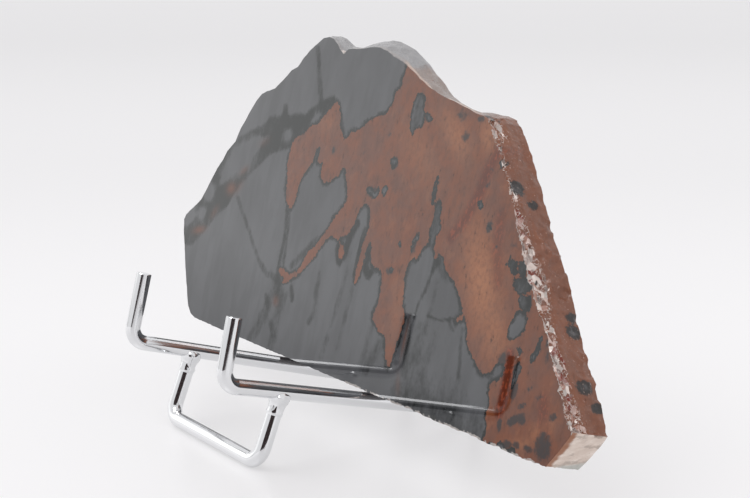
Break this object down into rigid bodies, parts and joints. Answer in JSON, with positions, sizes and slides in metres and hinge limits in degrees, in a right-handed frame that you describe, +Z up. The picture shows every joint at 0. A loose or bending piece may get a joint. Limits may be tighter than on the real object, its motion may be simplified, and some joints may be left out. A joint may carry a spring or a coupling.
{
  "type": "display slab on easel",
  "caption": "Polished slab of mahogany obsidian with a rough natural edge, leaning on a small bright bent-wire easel.",
  "frame": {"origin": "middle of the bounding box, on the table", "axes": "+X along the slab towards its cut-off lower corner, +Y from the hooks to the backrest, +Z up"},
  "size_m": [0.1912, 0.0882, 0.1015],
  "materials": {
    "obsidian": "polished",
    "bright_steel": "polished"
  },
  "bodies": {
    "root": {"slab": "obsidian", "easel_frame": "bright_steel", "front_foot": "bright_steel"}
  },
  "joints": []
}
